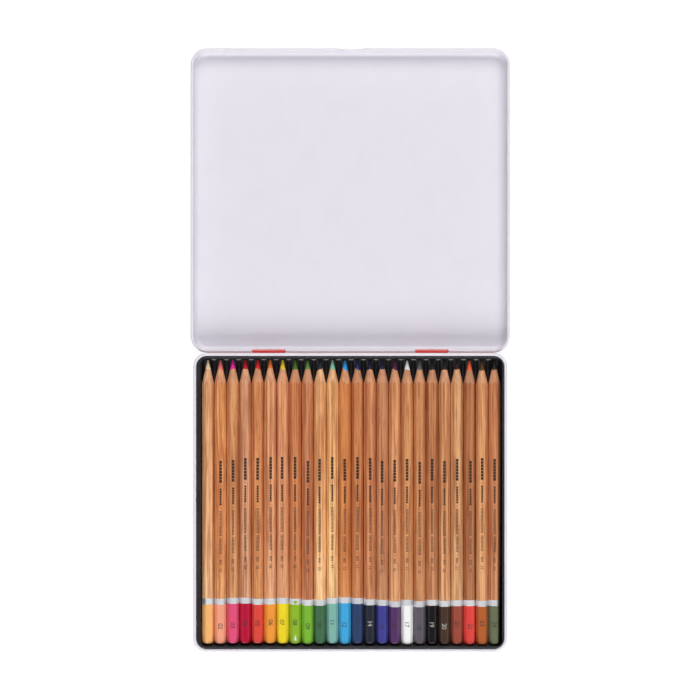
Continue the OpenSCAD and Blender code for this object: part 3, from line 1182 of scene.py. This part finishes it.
@dataclass
class PencilRow:
    """The pencils, from left to right."""

    form: PencilForm = field(default_factory=PencilForm)
    seed: int = 24
    barrel_digits: float = 1.9 * MM
    dip_digits: float = 2.9 * MM
    shades: tuple[Shade, ...] = (
        Shade("apricot", "#f5b470", "#fbdcb4", "#dea476", 14, 24.7, 114.5, 0.5, 0.2, 67, print_below=True),
        Shade("salmon", "#f2a082", "#f47071", "#df9760", 5, 24.5, 113.4, 0.7, 0.75, 90, 0.03),
        Shade("rose", "#e3527a", "#f122a3", "#ca895a", 5, 24.9, 113.9, 0.45, 0.2, 201),
        Shade("crimson", "#b81638", "#c60d23", "#ce926d", 3, 25.1, 115.2, 0.65, 0.2, 268),
        Shade("scarlet", "#dc4a3e", "#e51f2b", "#c67f4f", 1, 24.3, 115.1, 0.45, 0.6, 90),
        Shade("orange", "#ef993c", "#f47b33", "#d8966c", 8, 24.4, 115.6, 0.6, 0.3, 0),
        Shade("lemon", "#f3d92a", "#fad224", "#d59066", -4, 25, 115.8, 0.6, 0.5, 80),
        Shade("lime", "#8eb72e", "#4b7424", "#c67b4c", 1, 24.6, 116, 0.45, 0.2, 176, spilled=True),
        Shade("leaf", "#7ab637", "#649241", "#c17b53", 4, 24.1, 113.7, 0.7, 0.3, -40),
        Shade("pine", "#426c4c", "#242f34", "#e7ad79", -4, 24, 114.8, 0.7, 0.7, -90, 0.03),
        Shade("aqua", "#7eb4a7", "#88cfb0", "#e4ac74", -1, 25, 115.8, 0.6, 0.2, 180),
        Shade("sky", "#42a7df", "#2aa1f4", "#c87b45", -2, 25.7, 115, 0.3, 1, 90),
        Shade("navy", "#314269", "#222962", "#bb7346", 1, 25.1, 116, 0.45, 0.45, 90),
        Shade("midnight", "#292b38", "#171734", "#c98358", 3, 24.3, 115.4, 0.45, 0.2, 218),
        Shade("indigo", "#424292", "#1d183d", "#bc7c55", -3, 23.9, 113.5, 0.55, 0.2, 285),
        Shade("plum", "#563564", "#5a1649", "#d08e61", -1, 23.3, 114.4, 0.5, 0.6, 90),
        Shade("white", "#f4f4f2", "#f6f6f6", "#c78656", -2, 24.3, 115.1, 0.45, 0.2, 59),
        Shade("slate", "#605963", "#5e5f60", "#bc7a4e", -1, 23.2, 113, 0.45, 0.2, 126),
        Shade("black", "#1a181a", "#1a191b", "#bb7b51", -2, 24.1, 114.9, 0.6, 0.3, 180),
        Shade("umber", "#49352b", "#251c19", "#ce9062", -3, 23.6, 113.8, 0.6, 0.2, 260),
        Shade("sienna", "#9c4c3c", "#351919", "#d1996b", 0, 23.9, 115, 0.6, 0.2, 327),
        Shade("vermilion", "#e0453f", "#f65f35", "#a86841", 9, 24, 113.8, 0.7, 0.35, 180),
        Shade("copper", "#b46031", "#543a1a", "#cf9061", 0, 23.8, 115.8, 0.45, 0.3, 180),
        Shade("olive", "#6a7156", "#202220", "#bf7a52", 0, 23.9, 114.9, 0.45, 0.2, 168, 0.02),
    )

    def build(self) -> None:
        """Builds every pencil's looks in order."""
        chance = random.Random(self.seed)
        foil = Foil("silver_foil").material()
        printing = Print(DigitStamps(self.barrel_digits))
        stamps = DigitStamps(self.dip_digits)
        for number, shade in enumerate(self.shades, start=1):
            Pencil(number, shade, self.form, chance).build(foil, printing, stamps)


@dataclass
class Tin:
    """The two pans, their hinge pins and the tray."""

    curl: float = 0.9 * MM
    sheet: float = 0.3 * MM
    base_corner: float = 7.0 * MM
    base_bend: float = 2.0 * MM
    lid_corner: float = 8.95 * MM
    lid_bend: float = 3.0 * MM
    nub_z: float = 5.55 * MM
    nub_x: float = 61.0 * MM
    nub_y: float = 126.45 * MM
    nub_depth: float = 1.7 * MM
    tray_corner: float = 6.4 * MM
    rim_round: float = 0.6 * MM
    ridges: int = 23
    pitch: float = 7.72 * MM
    row_shift: float = 0.55 * MM
    shoulder_size: Triple = (2.9 * MM, 1.0 * MM, 0.5 * MM)
    shoulder_round: float = 0.14 * MM
    shoulder_tilt: float = 28.0
    shoulder_y: float = 88.42 * MM
    shoulder_drop: float = 0.52 * MM

    def build(self) -> None:
        """Dresses the CAD nodes, with the pans' sizes from their boxes."""
        base = self.pan("base_shell", self.base_corner, self.base_bend, centred=True)
        dress_node("base_shell", TinSheet("base_sheet", base))
        lid = self.pan("lid_shell", self.lid_corner, self.lid_bend)
        dress_node("lid_shell", LidSheet("lid_sheet", lid, nubs=self.nubs(lid)))
        for side in ("left", "right"):
            dress_node(f"hinge_pin_{side}", Wire(f"wire_{side}"))
        self.form_tray(FormedPlastic("black_plastic").material())

    def pan(self, node: str, corner: float, bend: float, centred: bool = False) -> PanForm:
        """Measures a pan over its wall, inside its rolled rim.

        Args:
            node: The pan's node.
            corner: Radius of the wall's corners.
            bend: Radius between the wall and the floor.
            centred: Whether the pan is centred on the origin, with knuckles past its rear rim.

        Returns:
            The pan's sizes.
        """
        low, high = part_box(node)
        rear = -low.y if centred else high.y
        rolled = 2 * self.curl - self.sheet
        return PanForm(
            width=high.x - low.x - 2 * rolled, depth=rear - low.y - 2 * rolled, centre_y=(low.y + rear) / 2,
            corner=corner, height=high.z, bend=bend, curl=self.curl, sheet=self.sheet,
        )

    def nubs(self, pan: PanForm) -> tuple[Triple, ...]:
        """Finds the middle of each snap nub's ball, outside the lid's wall.

        Args:
            pan: The lid's sizes.

        Returns:
            The four middles.
        """
        front = pan.centre_y + pan.depth / 2 + self.nub_depth
        side = pan.width / 2 + self.nub_depth
        at_front = tuple((x, front, self.nub_z) for x in (-self.nub_x, self.nub_x))
        return at_front + tuple((x, self.nub_y, self.nub_z) for x in (-side, side))

    def form_tray(self, plastic: Material) -> None:
        """Stands a copy of the tray with softened edges in for its solid, as formed plastic has.

        Args:
            plastic: The tray's finish.
        """
        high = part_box("tray_insert")[1]
        mesh = bmesh.new()
        mesh.from_mesh(bpy.data.objects["tray_insert"].data)
        bmesh.ops.remove_doubles(mesh, verts=mesh.verts[:], dist=0.002 * MM)
        bmesh.ops.dissolve_limit(
            mesh, angle_limit=math.radians(1.0), verts=mesh.verts[:], edges=mesh.edges[:]
        )
        soften(mesh, self.rim_edges(mesh, high), self.rim_round, 4)
        self.raise_shoulders(mesh, high.z - self.shoulder_drop)
        tray = new_piece("tray_formed", mesh, plastic, sharp=32.0)
        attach(tray, "tray")
        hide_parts("tray_insert")
        log.info("tray_formed in %s", plastic.name)

    def rim_edges(self, mesh: Shape, high: Vector) -> list[bmesh.types.BMEdge]:
        """Finds the outer edge of the tray's land.

        Args:
            mesh: The tray.
            high: The high corner of its box.

        Returns:
            The edges.
        """
        found = []
        for edge in mesh.edges:
            middle = (edge.verts[0].co + edge.verts[1].co) / 2
            past_x = max(abs(middle.x) - high.x + self.tray_corner, 0.0)
            past_y = max(abs(middle.y) - high.y + self.tray_corner, 0.0)
            on_land = min(vert.co.z for vert in edge.verts) >= high.z - 0.01 * MM
            if on_land and math.hypot(past_x, past_y) > self.tray_corner - 0.1 * MM:
                found.append(edge)
        return found

    def raise_shoulders(self, mesh: Shape, height: float) -> None:
        """Adds the small rounded shoulder at the hinge end of each ridge, just under the land.

        Args:
            mesh: The tray.
            height: Height of each shoulder's middle.
        """
        turn = Matrix.Rotation(math.radians(self.shoulder_tilt), 4, "X")
        for order in range(self.ridges):
            made = bmesh.ops.create_cube(mesh, size=1.0)["verts"]
            bmesh.ops.scale(mesh, verts=made, vec=self.shoulder_size)
            edges = {edge for vert in made for edge in vert.link_edges}
            rounded = soften(mesh, edges, self.shoulder_round, 2)
            verts = list({vert for vert in made + rounded if vert.is_valid})
            x = (order - (self.ridges - 1) / 2) * self.pitch + self.row_shift
            place = Matrix.Translation((x, self.shoulder_y, height))
            bmesh.ops.transform(mesh, matrix=place @ turn, verts=verts)


# ---- Studio ----


class Side(Enum):
    """Where a lamp stands, by the direction from the tin, in degrees round from the right."""

    RIGHT = 0.0
    BACK = 80.0
    LEFT = 180.0
    FRONT = 270.0


@dataclass(frozen=True)
class Lamp:
    """A soft box that faces the tin's middle."""

    name: str
    side: Side
    elevation: float
    distance: float
    width: float
    height: float
    power: float

    def build(self, aim: Vector) -> None:
        """Hangs the lamp.

        Args:
            aim: The point that it faces.
        """
        data = bpy.data.lights.new(self.name, "AREA")
        data.shape = "RECTANGLE"
        data.size = self.width
        data.size_y = self.height
        data.energy = self.power
        lamp = bpy.data.objects.new(self.name, data)
        round_z = math.radians(self.side.value)
        rise = math.radians(self.elevation)
        way = Vector((math.cos(rise) * math.cos(round_z), math.cos(rise) * math.sin(round_z), math.sin(rise)))
        lamp.location = aim + way * self.distance
        lamp.rotation_euler = way.to_track_quat("Z", "Y").to_euler()
        bpy.context.scene.collection.objects.link(lamp)


@dataclass
class Studio:
    """The camera, the white floor and backdrop, the lamps and the faint sky."""

    camera_height: float = 1222.0 * MM
    camera_x: float = -0.15 * MM
    camera_y: float = 94.24 * MM
    frame_pixels: float = 700.0
    focal_pixels: float = 1960.0
    sensor_mm: float = 36.0
    floor_size: float = 14.0
    floor_drop: float = 0.15 * MM
    backdrop_radius: float = 6.9
    backdrop_height: float = 3.2
    paper_white: float = 0.80
    paper_shadow: float = 0.12
    paper_glow: float = 0.93
    sky: float = 0.13
    sky_overhead: float = 0.08
    overhead: tuple[float, float] = (0.90, 0.97)
    lamps: tuple[Lamp, ...] = (
        Lamp("key", Side.BACK, 42.0, 2.5, 2.4, 1.4, 45.7),
        Lamp("front", Side.FRONT, 32.0, 2.5, 2.4, 1.3, 58.0),
        Lamp("right_fill", Side.RIGHT, 45.0, 2.5, 1.5, 1.5, 4.6),
        Lamp("left_fill", Side.LEFT, 45.0, 2.5, 1.5, 1.5, 2.6),
    )

    def build_camera(self) -> None:
        """Hangs the camera straight over the hinge, as the photograph was taken."""
        data = bpy.data.cameras.new("camera")
        data.sensor_width = self.sensor_mm
        data.lens = self.sensor_mm * self.focal_pixels / self.frame_pixels
        camera = bpy.data.objects.new("camera", data)
        camera.location = (self.camera_x, self.camera_y, self.camera_height)
        bpy.context.scene.collection.objects.link(camera)
        bpy.context.scene.camera = camera

    def build(self) -> None:
        """Stands the white paper, hangs the lamps and lights the world."""
        self.stand_paper()
        low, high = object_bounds()
        for lamp in self.lamps:
            lamp.build((low + high) / 2)
        world = bpy.data.worlds.new("studio")
        bpy.context.scene.world = world
        world.use_nodes = True
        bench = Bench(world.node_tree)
        way = bench.vector("NORMALIZE", bench.node("TexCoord").outputs["Generated"])
        level = bench.between(bench.parts(way)["Z"], *self.overhead, self.sky, self.sky_overhead)
        sky = bench.node("Background", {"Color": "#ffffff", "Strength": level})
        bench.node("OutputWorld", {"Surface": sky.outputs[0]})
        bpy.context.scene.view_settings.view_transform = "Standard"

    def stand_paper(self) -> None:
        """Lays the white floor just under the tin, and hangs the white backdrop all round."""
        floor, ring = bmesh.new(), bmesh.new()
        bmesh.ops.create_grid(floor, x_segments=1, y_segments=1, size=self.floor_size / 2)
        bmesh.ops.create_circle(ring, segments=96, radius=self.backdrop_radius)
        raised = new_verts(bmesh.ops.extrude_edge_only(ring, edges=ring.edges[:])["geom"])
        bmesh.ops.translate(ring, verts=raised, vec=(0.0, 0.0, self.backdrop_height))
        white = self.white_paper()
        for name, mesh in (("floor", floor), ("backdrop", ring)):
            piece = new_piece(name, mesh, white, sharp=None)
            piece.location = (0.0, self.camera_y, -self.floor_drop)
            piece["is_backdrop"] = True

    def white_paper(self) -> Material:
        """Makes the studio's paper, which is seen white and keeps a faint shadow.

        Returns:
            The material.
        """
        material = bpy.data.materials.new("white_paper")
        material.use_nodes = True
        bench = Bench(material.node_tree)
        path = bench.node("LightPath").outputs
        through = bench.math("MAXIMUM", path["Is Glossy Ray"], path["Is Transmission Ray"])
        seen = bench.math("MAXIMUM", path["Is Camera Ray"], through)
        matte, faint = (
            bench.node("BsdfDiffuse", {"Color": (level, level, level, 1.0)}).outputs[0]
            for level in (self.paper_white, self.paper_shadow)
        )
        glow = bench.node("Emission", {"Color": "#ffffff", "Strength": self.paper_glow})
        white = bench.node("AddShader", {0: faint, 1: glow.outputs[0]})
        mixed = bench.node("MixShader", {0: seen, 1: matte, 2: white.outputs[0]})
        bench.node("OutputMaterial", {"Surface": mixed.outputs[0]})
        return material


def main() -> None:
    """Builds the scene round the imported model."""
    logging.basicConfig(level=logging.INFO, format="%(name)s: %(message)s")
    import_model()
    studio = Studio()
    studio.build_camera()
    Tin().build()
    PencilRow().build()
    studio.build()


if __name__ == "__main__":
    main()
